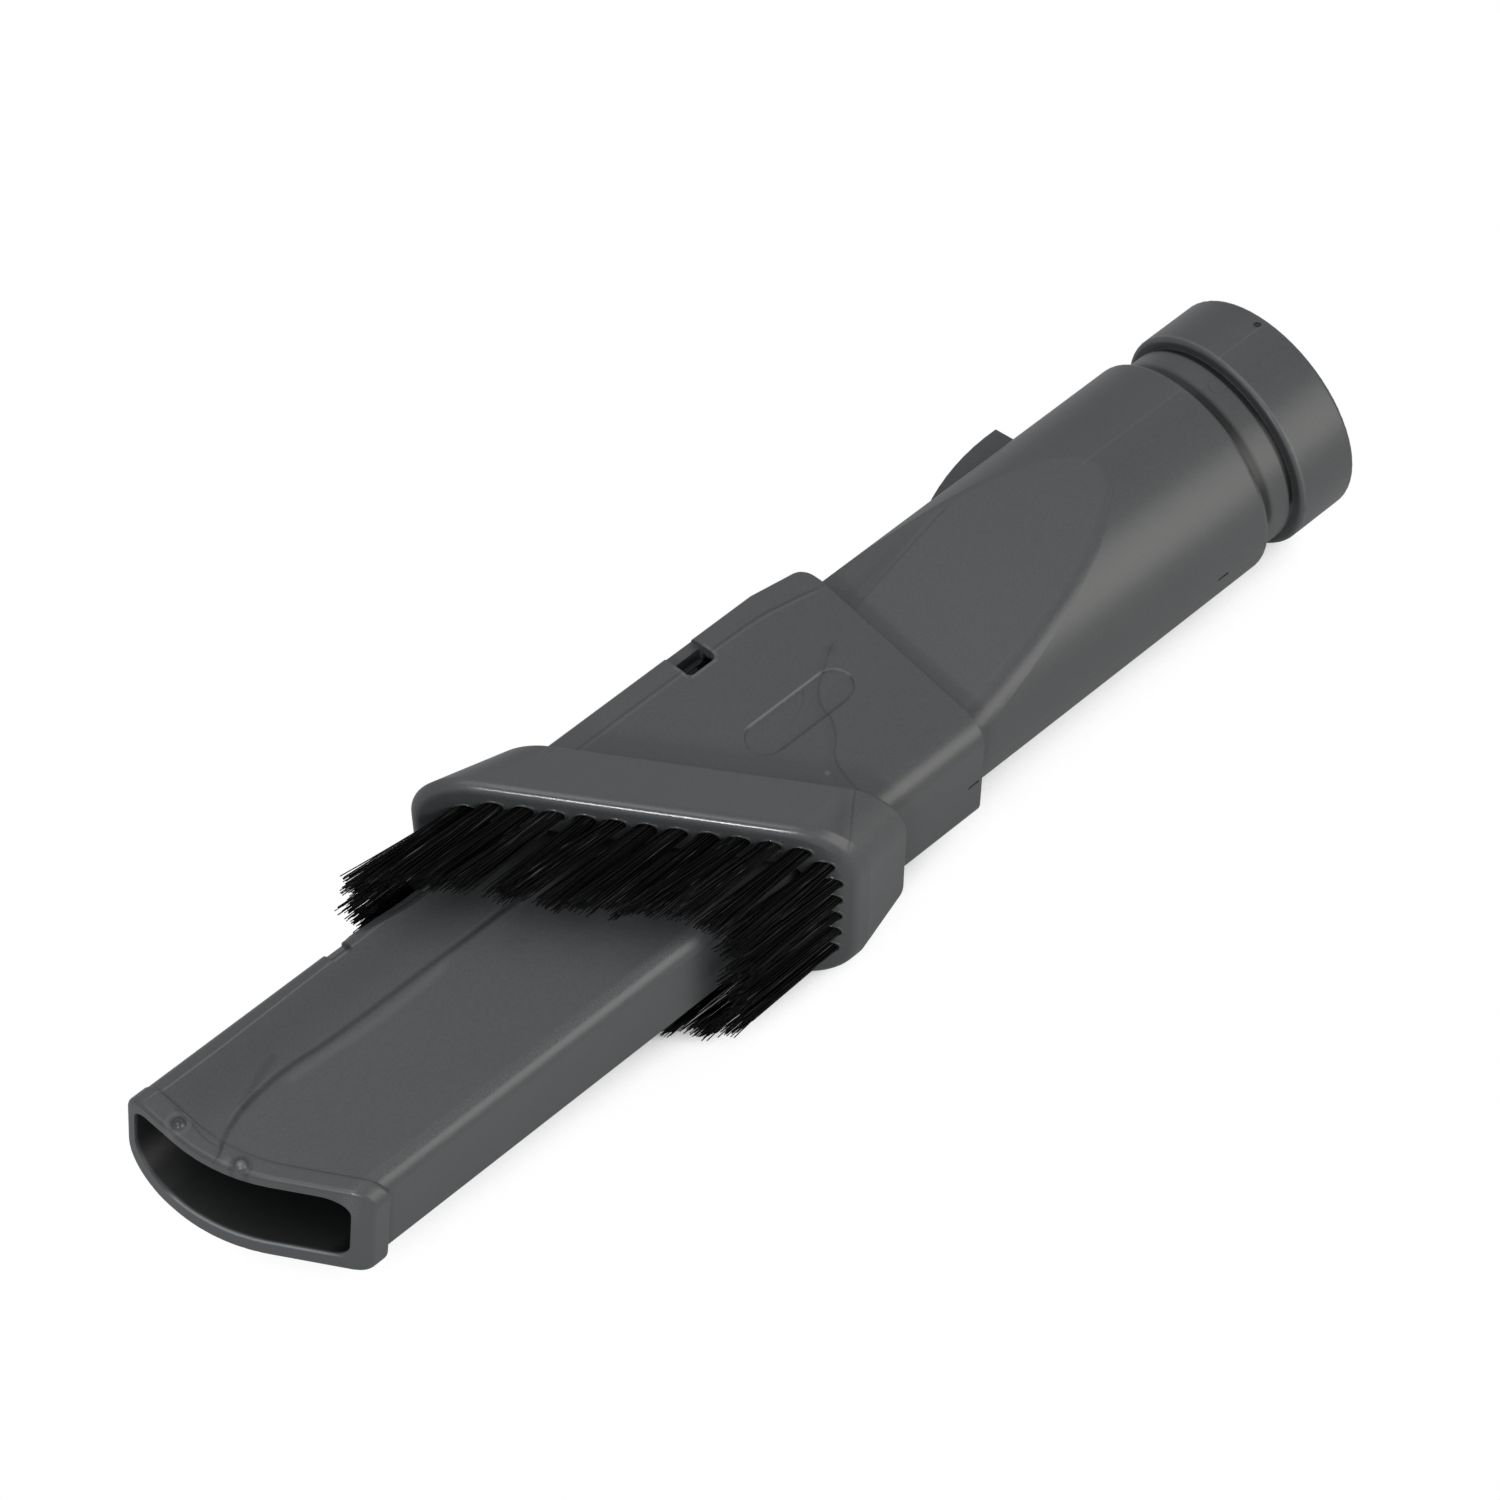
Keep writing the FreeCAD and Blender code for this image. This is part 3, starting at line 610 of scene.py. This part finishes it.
class Modelling:
    """Hand operations on the active mesh."""

    @staticmethod
    def start() -> None:
        """Leave edit mode and deselect every object."""
        if bpy.context.object and bpy.context.object.mode != "OBJECT":
            bpy.ops.object.mode_set(mode="OBJECT")
        bpy.ops.object.select_all(action="DESELECT")

    @staticmethod
    def take(name: str) -> bpy.types.Object:
        """Name the new active object and its data.

        Args:
            name: The name.

        Returns:
            The object.
        """
        made = bpy.context.object
        made.name = name
        made.data.name = name
        return made

    @staticmethod
    def edit(name: str) -> bpy.types.Object:
        """Apply a new primitive's place and open it in edit mode, all of it selected.

        Args:
            name: Its name.

        Returns:
            The piece.
        """
        bpy.ops.object.transform_apply(location=True, rotation=True, scale=True)
        made = Modelling.take(name)
        bpy.ops.object.mode_set(mode="EDIT")
        bpy.ops.mesh.select_all(action="SELECT")
        return made

    @staticmethod
    def close() -> None:
        """Leave edit mode and shade the piece smooth."""
        bpy.ops.object.mode_set(mode="OBJECT")
        bpy.ops.object.shade_smooth()

    @staticmethod
    def copy(source: bpy.types.Object, name: str, matrix: Matrix) -> bpy.types.Object:
        """Copy a piece with its own mesh and link the copy to the scene.

        Args:
            source: The piece.
            name: The copy's name.
            matrix: The copy's place, which goes into its mesh.

        Returns:
            The copy.
        """
        mesh = source.data.copy()
        mesh.transform(matrix)
        made = bpy.data.objects.new(name, mesh)
        bpy.context.scene.collection.objects.link(made)
        return made

    @staticmethod
    def join(pieces: list[bpy.types.Object], name: str) -> bpy.types.Object:
        """Join pieces into one.

        Args:
            pieces: The pieces.
            name: The name of what they become.

        Returns:
            The joined piece.
        """
        Modelling.start()
        for piece in pieces:
            piece.select_set(True)
        bpy.context.view_layer.objects.active = pieces[0]
        bpy.ops.object.join()
        return Modelling.take(name)

    @staticmethod
    def paint(piece: bpy.types.Object, material: bpy.types.Material) -> None:
        """Give a piece one material."""
        piece.data.materials.clear()
        piece.data.materials.append(material)

    @staticmethod
    def discard(piece: bpy.types.Object) -> None:
        """Remove a piece that was only a pattern for copies."""
        bpy.data.objects.remove(piece)


def dress(node: str, material: bpy.types.Material) -> None:
    """Put a material on every slot of a CAD node.

    Args:
        node: The node's name.
        material: Its new material.
    """
    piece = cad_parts[node]
    if not piece.material_slots:
        piece.data.materials.append(material)
    for slot in piece.material_slots:
        slot.material = material
    LOG.info("dressed %s in %s", node, material.name)


@dataclass
class Nozzle:
    """The hollow nozzle body, with the marks that its mould left and painted shade and highlights."""

    # A dark crease, sunk by a groove and painted darker as shade, with painted highlights on both sides of
    # it, painted shadow on its far side near the mouth and painted shade over the far facet.
    crease_shade_and_highlights: tuple[Mark, ...] = (
        Mark(((150, -5.3), (164.5, -5.3), (191.2, -5.4), (199.2, -5.9), (203.8, -5.6), (207.4, -5.0),
              (210.7, -4.0), (213.6, -2.5)), 0.9, -0.55, groove=0.07),
        Mark(((170, -4.0), (183.4, -3.3), (192.5, -3.8), (200, -4.2)), 1.3, 0.3),
        Mark(((198.7, -8.9), (201.9, -7.9), (205.3, -6.5), (208, -5.4)), 1.2, -0.2),
        Mark(((199, -6.8), (207.4, -5.8), (211, -4.6)), 0.3, 0.22),
        Mark(((150, -12.0), (214, -11.5)), 9.0, -0.22),
    )
    # Fold lines, sunk by a shallow groove and painted darker as shade in the fold.
    fold_shade: tuple[Mark, ...] = (
        Mark(((-11.5, 215.1), (-8.4, 214.9), (-4.9, 214.9), (-2.7, 214.0)), 0.4, -0.28, groove=0.03,
             along_y=True),
        Mark(((-2.5, 213.6), (-1.2, 215.2), (-0.9, 216.6)), 0.7, -0.4, groove=0.05, along_y=True),
    )
    # Painted highlight along the far top edge.
    far_edge_highlight: Mark = Mark(((173, -15.75), (182.8, -15.7), (198.2, -15.4), (207.6, -15.3), (216.7, -15.4)),
                          0.25, 0.8)
    # Painted highlight along the near top edge, which is also smoother.
    near_edge_highlight: Mark = Mark(((140, 16.4), (209, 16.4)), 1.6, 0.22, polish=0.12)
    parting: tuple[Mark, ...] = (
        Mark(((1.5, -1.9), (11.6, -1.9)), 0.28, 0.28),
        Mark(((19.5, -1.5), (42, -1.6)), 0.28, 0.22),
    )
    # Painted shade in the groove before the ring, a painted glint on the ring's edge, painted shade along
    # the band's shoulder and a painted shadow beside the carriage's back edge.
    hoop_shades_and_glint: tuple[Mark, ...] = (
        Mark.hoop(12.7, 20, 0.95, -1.6),
        Mark.hoop(11.3, 20, 0.35, 0.7),
        Mark.hoop(18.1, 20, 1.5, -1.3),
        Mark.hoop(82.4, 16, 3.0, -0.12),
    )
    # Painted shade along the neck's far crease, which also has a shallow groove, and softer painted shade
    # on the far side beside it.
    neck_shade_lines: tuple[Mark, ...] = (
        Mark(((60, -12.2), (71.5, -11.3), (81.4, -10.2)), 0.45, -0.2, groove=0.02),
        Mark(((66, -13.0), (82, -12.4)), 1.8, -0.08),
    )
    far_nub: Point = (216.45, -9.25)
    near_nub: Point = (214.06, 2.34)
    spots: tuple[Spot, ...] = (
        # Painted shade and highlight on the nubs: the far one dark in a light ring, the near one a bright
        # glint in a dark ring, both smoother.
        Spot(far_nub, 0.0, 1.5, -0.5, polish=0.2),
        Spot(far_nub, 1.7, 0.5, 0.35),
        Spot(near_nub, 0.0, 0.9, 1.4, polish=0.2),
        Spot(near_nub, 1.5, 0.6, -0.3),
        Spot((215.0, 0.3), 0.0, 1.2, 0.6),
        Spot((1.7, -2.55), 0.0, 0.6, -0.5, groove=0.1),
        Spot((14.3, 1.1), 1.5, 0.3, -0.14),
    )
    mouth: tuple[Point, ...] = ((-9, 220.2), (-6, 219.9), (-3, 219.2), (0, 218.2), (3, 216.8), (6, 215.0),
                                (9, 212.8))
    # Painted highlight along the lower inner edge of the mouth, which is also smoother.
    mouth_glint: Mark = Mark((*mouth, (15, 208.4)), 0.55, 3.0, along_y=True, level=-7.5, polish=0.15)
    # Painted shade inside the duct, behind the mouth.
    duct_shade: HollowShade = HollowShade(16.8, 7.75, 92.0, ((-16.6, 220.9), *mouth, (16.6, 207.2)), lean_deg=7.0)

    def build(self) -> None:
        """Dress the body."""
        marks = (*self.crease_shade_and_highlights, *self.fold_shade, self.far_edge_highlight, self.near_edge_highlight, *self.parting, *self.hoop_shades_and_glint,
                 *self.neck_shade_lines, *self.spots)
        finish = PlasticFinish("body_grey", marks=marks, glint_marks=(self.mouth_glint,), hollow=self.duct_shade)
        dress("nozzle_body", finish.material())


@dataclass
class Carriage:
    """The brush carriage, with the marks that its mould left, painted shade and highlights, and the wire
    anchors in its holes.
    """

    flow: Mark = Mark(((-6.1, 90.1), (-3.7, 94.4), (0.5, 99.3), (4.5, 100.4), (7.5, 102.4), (9.4, 104.4),
                       (13.1, 105.7), (16.1, 105.8)), 0.5, -0.28, groove=0.03, along_y=True)
    flow_shade: Mark = flow.beside(1.0, 1.6, -0.07)
    flow_branch: Mark = Mark(((-3.4, 99.3), (-0.3, 102.7), (1.1, 108.0)), 0.4, -0.14, along_y=True)
    weld: Mark = Mark(((16.3, 106.0), (21.15, 111.8), (22.9, 113.6), (24.6, 115.4)), 0.5, -0.3, groove=0.04,
                      along_y=True)
    weld_shade: Mark = weld.beside(2.4, 2.4, -0.12)
    # A lighter line along the holder's far crease.
    far_light_line: Mark = Mark(((-20.1, 133.3), (-17.3, 140.6)), 0.5, 0.16, along_y=True)
    # Painted highlights along the far edge and back end of the pill recess, and painted shade along its
    # near edge.
    pill_highlight_and_shade: tuple[Mark, ...] = (
        Mark(((95.6, -3.25), (111.0, -3.25)), 0.36, 1.3),
        Mark(((96.0, 3.2), (110.0, 3.2)), 0.4, -0.3),
        Mark(((-3.1, 95.1), (-2.5, 93.9), (-1.5, 93.1), (0.3, 92.7)), 0.36, 1.0, along_y=True),
    )
    # Painted highlights along the window's rim.
    window_highlights: tuple[Mark, ...] = (
        Mark(((105.8, -15.7), (111.0, -15.7)), 0.4, 0.6),
        Mark(((-19.5, 105.3), (-16.2, 105.3)), 0.4, 0.5, along_y=True),
        Mark(((-19.5, 111.5), (-16.2, 111.5)), 0.4, 0.5, along_y=True),
    )
    # Painted highlight along the holder's front rim, which is also smoother.
    rim: Mark = Mark(((-18, 150.2), (18, 121.6)), 1.7, 0.15, along_y=True, polish=0.24)
    # Painted shade along the crease of the far strip, which also has a shallow groove.
    strip: Mark = Mark(((85.3, -15.1), (92, -16.6), (97.4, -17.35), (104, -17.55), (137, -17.6)),
                       0.4, -0.34, groove=0.03)
    # Painted highlight beside that crease.
    strip_highlight: Mark = strip.beside(0.55, 0.35, 0.3)
    spots: tuple[Spot, ...] = (
        Spot((91.5, -5.4), 0.0, 1.6, -0.18),
        Spot((107.3, 10.95), 0.0, 0.7, 0.8),
    )
    # Painted shade inside the carriage.
    hall_shade: HollowShade = HollowShade(19.1, 10.6, 84.0, ((-19, 150), (19, 120)))

    def build(self) -> None:
        """Dress the carriage and its anchors."""
        marks = (self.flow, self.flow_shade, self.flow_branch, self.weld, self.weld_shade, self.far_light_line,
                 *self.pill_highlight_and_shade, *self.window_highlights, self.rim, self.strip, self.strip_highlight, *self.spots)
        finish = PlasticFinish("carriage_grey", marks=marks, hollow=self.hall_shade)
        dress("brush_slider", finish.material())
        dress("tuft_anchors", WireFinish().material())


@dataclass(frozen=True)
class HoleRing:
    """The ring of tuft holes in the holder's raked face."""

    count: int = 36
    depth: float = 4.1 * MM
    rake_deg: float = 38.5

    @property
    def slope(self) -> float:
        """Return how far the face falls back for a step towards +Y."""
        return math.tan(math.radians(self.rake_deg))

    def nodes(self) -> list[str]:
        """Return the CAD nodes of the tufts, in the order of their holes."""
        return [f"tuft_{number:02d}" for number in range(1, self.count + 1)]

    @staticmethod
    def bottom(node: str) -> Vector:
        """Return the middle of a hole's bottom, where its tuft starts."""
        low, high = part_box(node)
        return Vector((low.x, (low.y + high.y) / 2, (low.z + high.z) / 2))


@dataclass
class Tufts:
    """The ring of bristle tufts, each a bundle of filaments set in its hole."""

    holes: HoleRing = HoleRing()
    filaments: int = 64
    radius: float = 0.13 * MM
    sides: int = 4
    segments: int = 5
    tip_share: float = 0.7
    root_radius: float = 1.14 * MM
    scatter: float = 0.3
    length: float = 19.5 * MM
    splay: float = 0.034
    stray: float = 0.008
    tuft_lean: float = 0.022
    ragged: float = 1.5 * MM
    bows: tuple[float, ...] = (0.0, 0.15 * MM, 0.35 * MM, 0.7 * MM)
    seed: int = 11
    patterns: list[bpy.types.Object] = field(default_factory=list)

    def pattern(self, bow: float) -> bpy.types.Object:
        """Model one filament of unit length along X, extruded step by step with a slight bow.

        Args:
            bow: How far its tip leaves the straight line.

        Returns:
            The filament.
        """
        Modelling.start()
        bpy.ops.mesh.primitive_circle_add(vertices=self.sides, radius=self.radius, fill_type="NGON",
                                          rotation=ALONG_X)
        filament = Modelling.edit("filament_pattern")
        shrink = self.tip_share ** (1 / self.segments)
        for step in range(self.segments):
            rise = bow * ((step + 1) ** 2 - step ** 2) / self.segments ** 2
            bpy.ops.mesh.extrude_region_move(TRANSFORM_OT_translate={"value": (1 / self.segments, 0, rise)})
            bpy.ops.transform.resize(value=(1, shrink, shrink))
        bpy.ops.mesh.select_all(action="SELECT")
        bpy.ops.mesh.normals_make_consistent(inside=False)
        Modelling.close()
        return filament

    def filament_places(self, dice: random.Random) -> list[Point]:
        """Spread a tuft's filaments in its hole like seeds in a flower head.

        Args:
            dice: The source of small differences.

        Returns:
            The y and z of each filament.
        """
        golden = math.pi * (3 - math.sqrt(5))
        places = []
        for number in range(self.filaments):
            out = self.root_radius * math.sqrt((number + 0.5) / self.filaments)
            turn = number * golden + dice.uniform(-self.scatter, self.scatter)
            places.append((out * math.cos(turn), out * math.sin(turn)))
        return places

    def tuft(self, name: str, material: bpy.types.Material, dice: random.Random) -> bpy.types.Object:
        """Fill one tuft's place with filaments.

        Args:
            name: The tuft's CAD node.
            material: The filaments' material.
            dice: The source of small differences.

        Returns:
            The tuft.
        """
        bottom, slope = self.holes.bottom(name), self.holes.slope
        lean = (dice.gauss(0, self.tuft_lean), dice.gauss(0, self.tuft_lean))
        pieces = []
        for y, z in self.filament_places(dice):
            aim = Vector((1.0,
                          lean[0] + y / self.root_radius * self.splay + dice.gauss(0, self.stray),
                          lean[1] + z / self.root_radius * self.splay + dice.gauss(0, self.stray)))
            free = self.length - self.ragged * dice.random() ** 2
            reach = (self.holes.depth + free - y * slope) / (1 + aim.y * slope)
            spin = Matrix.Rotation(dice.uniform(0, 2 * math.pi), 4, "X")
            stretch = Matrix.Diagonal((reach, 1, 1, 1))
            tilt = Matrix(((1, 0, 0, 0), (aim.y, 1, 0, 0), (aim.z, 0, 1, 0), (0, 0, 0, 1)))
            at = Matrix.Translation((bottom.x, bottom.y + y, bottom.z + z))
            source = dice.choice(self.patterns)
            pieces.append(Modelling.copy(source, "filament", at @ tilt @ spin @ stretch))
        bundle = Modelling.join(pieces, name.replace("tuft", "bristles"))
        Modelling.paint(bundle, material)
        return bundle

    def build(self) -> None:
        """Model every tuft and let it stand for its CAD node."""
        dice = random.Random(self.seed)
        self.patterns = [self.pattern(bow) for bow in self.bows]
        material = NylonFinish().material()
        for node in self.holes.nodes():
            bundle = self.tuft(node, material, dice)
            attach(bundle, Body.CARRIAGE.value)
            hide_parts(node)
        for pattern in self.patterns:
            Modelling.discard(pattern)
        LOG.info("modelled %d tufts of %d filaments", self.holes.count, self.filaments)


@dataclass
class HoleRims:
    """The raised burrs round the tuft holes, one ring copied to every hole."""

    holes: HoleRing = HoleRing()
    radius: float = 1.45 * MM
    burr: float = 0.2 * MM
    ring_segments: int = 20
    bead_segments: int = 6
    crest: float = 1.5
    uneven: float = 0.06 * MM
    turn_deg: float = 137.5
    seed: int = 3
    finish: PlasticFinish = PlasticFinish("burr_grey", (0.05, 0.052, 0.053), roughness=0.14)

    def pattern(self) -> bpy.types.Object:
        """Model one burr, a bead that is pulled up from the face and left uneven.

        Returns:
            The burr.
        """
        Modelling.start()
        bpy.ops.mesh.primitive_torus_add(major_radius=self.radius, minor_radius=self.burr, rotation=ALONG_X,
                                         major_segments=self.ring_segments,
                                         minor_segments=self.bead_segments)
        ring = Modelling.edit("rim_pattern")
        bpy.ops.transform.resize(value=(self.crest, 1, 1))
        bpy.ops.transform.vertex_random(offset=self.uneven, seed=self.seed)
        Modelling.close()
        return ring

    def build(self) -> None:
        """Lay copies of the burr in the holder's raked face, each turned on its hole."""
        ring = self.pattern()
        lay = Matrix(((1, -self.holes.slope, 0, 0), (0, 1, 0, 0), (0, 0, 1, 0), (0, 0, 0, 1)))
        copies = []
        for number, node in enumerate(self.holes.nodes(), 1):
            bottom = self.holes.bottom(node)
            at = Matrix.Translation((bottom.x + self.holes.depth, bottom.y, bottom.z))
            turn = Matrix.Rotation(math.radians(number * self.turn_deg), 4, "X")
            copies.append(Modelling.copy(ring, "rim", at @ lay @ turn))
        rims = Modelling.join(copies, "tuft_hole_rims")
        Modelling.paint(rims, self.finish.material())
        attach(rims, Body.CARRIAGE.value)
        Modelling.discard(ring)
        LOG.info("modelled %d burrs", self.holes.count)


@dataclass(frozen=True)
class Softbox:
    """A square lamp at a direction from the tool's middle, aimed at it."""

    name: str
    direction: tuple[float, float, float]
    distance: float
    side: float
    watts: float
    colour: Colour = WHITE

    def build(self, target: Vector) -> None:
        """Hang the lamp.

        Args:
            target: The point that it is aimed at.
        """
        Modelling.start()
        away = Vector(self.direction).normalized()
        turn = away.to_track_quat("Z", "Y").to_euler()
        bpy.ops.object.light_add(type="AREA", location=target + away * self.distance, rotation=turn)
        lamp = Modelling.take(self.name)
        lamp.data.shape = "SQUARE"
        lamp.data.size = self.side
        lamp.data.energy = self.watts
        lamp.data.color = self.colour


@dataclass
class Studio:
    """Floor, lamps, world and camera."""

    eye: tuple[float, float, float] = (0.36636, 0.28039, 0.59464)
    azimuth_deg: float = 47.92
    elevation_deg: float = 57.0
    lens: float = 109.86
    sensor: float = 36.0
    ambient: Colour = (0.38, 0.385, 0.40)
    ring_foot: Point = (6 * MM, -19.8 * MM)
    holder_foot: Point = (135 * MM, -20.5 * MM)
    floor_side: float = 4.0
    softboxes: tuple[Softbox, ...] = (
        Softbox("right_box", (-0.365, 0.839, 0.40), 0.8, 0.6, 3.1, (1.0, 0.96, 0.90)),
        Softbox("left_box", (-0.10, -0.85, 0.60), 0.9, 0.7, 0.5),
        Softbox("top_box", (0.31, -0.14, 0.94), 0.9, 0.6, 1.9),
        Softbox("front_box", (0.70, 0.43, 0.55), 0.8, 0.12, 1.5),
        Softbox("back_box", (-0.72, -0.45, 0.50), 0.9, 0.5, 0.3),
    )

    def floor(self) -> None:
        """Lay the floor under the ring and the holder, which the tool rests on."""
        Modelling.start()
        (back, back_z), (front, front_z) = self.ring_foot, self.holder_foot
        tilt = math.atan2(back_z - front_z, front - back)
        middle = ((back + front) / 2, 0, (back_z + front_z) / 2)
        bpy.ops.mesh.primitive_plane_add(size=self.floor_side, location=middle, rotation=(0, tilt, 0))
        plane = Modelling.take("floor")
        plane.data.materials.append(FloorFinish().material())
        plane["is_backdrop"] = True

    def world(self) -> None:
        """Light the tool evenly from all round, on a white ground."""
        bench = NodeBench(bpy.data.worlds.new("studio"))
        soft = bench.signal("ShaderNodeBackground", 0, None, {"Color": opaque(self.ambient)})
        white = bench.signal("ShaderNodeBackground", 0, None, {"Color": opaque(WHITE)})
        share = bench.white_share(1.0, MIRRORED_WHITE)
        bpy.context.scene.world = bench.finish(
            bench.node("ShaderNodeMixShader", None, {0: share, 1: soft, 2: white}))

    def camera(self) -> None:
        """Set up the camera at the photograph's viewing angle."""
        Modelling.start()
        azimuth, elevation = math.radians(self.azimuth_deg), math.radians(self.elevation_deg)
        away = Vector((math.cos(elevation) * math.cos(azimuth), math.cos(elevation) * math.sin(azimuth),
                       math.sin(elevation)))
        turn = (-away).to_track_quat("-Z", "Y").to_euler()
        bpy.ops.object.camera_add(location=self.eye, rotation=turn)
        camera = Modelling.take("camera")
        camera.data.lens = self.lens
        camera.data.sensor_width = self.sensor
        bpy.context.scene.camera = camera

    def build(self, target: Vector) -> None:
        """Build the studio.

        Args:
            target: The point that the lamps are aimed at.
        """
        bpy.context.scene.view_settings.view_transform = "Standard"
        self.floor()
        self.world()
        for softbox in self.softboxes:
            softbox.build(target)
        self.camera()


def main() -> None:
    """Build the classes in order."""
    logging.basicConfig(level=logging.INFO, format="%(name)s: %(message)s")
    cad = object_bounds()
    Nozzle().build()
    Carriage().build()
    Tufts().build()
    HoleRims().build()
    Studio().build((cad[0] + cad[1]) / 2)


if __name__ == "__main__":
    main()
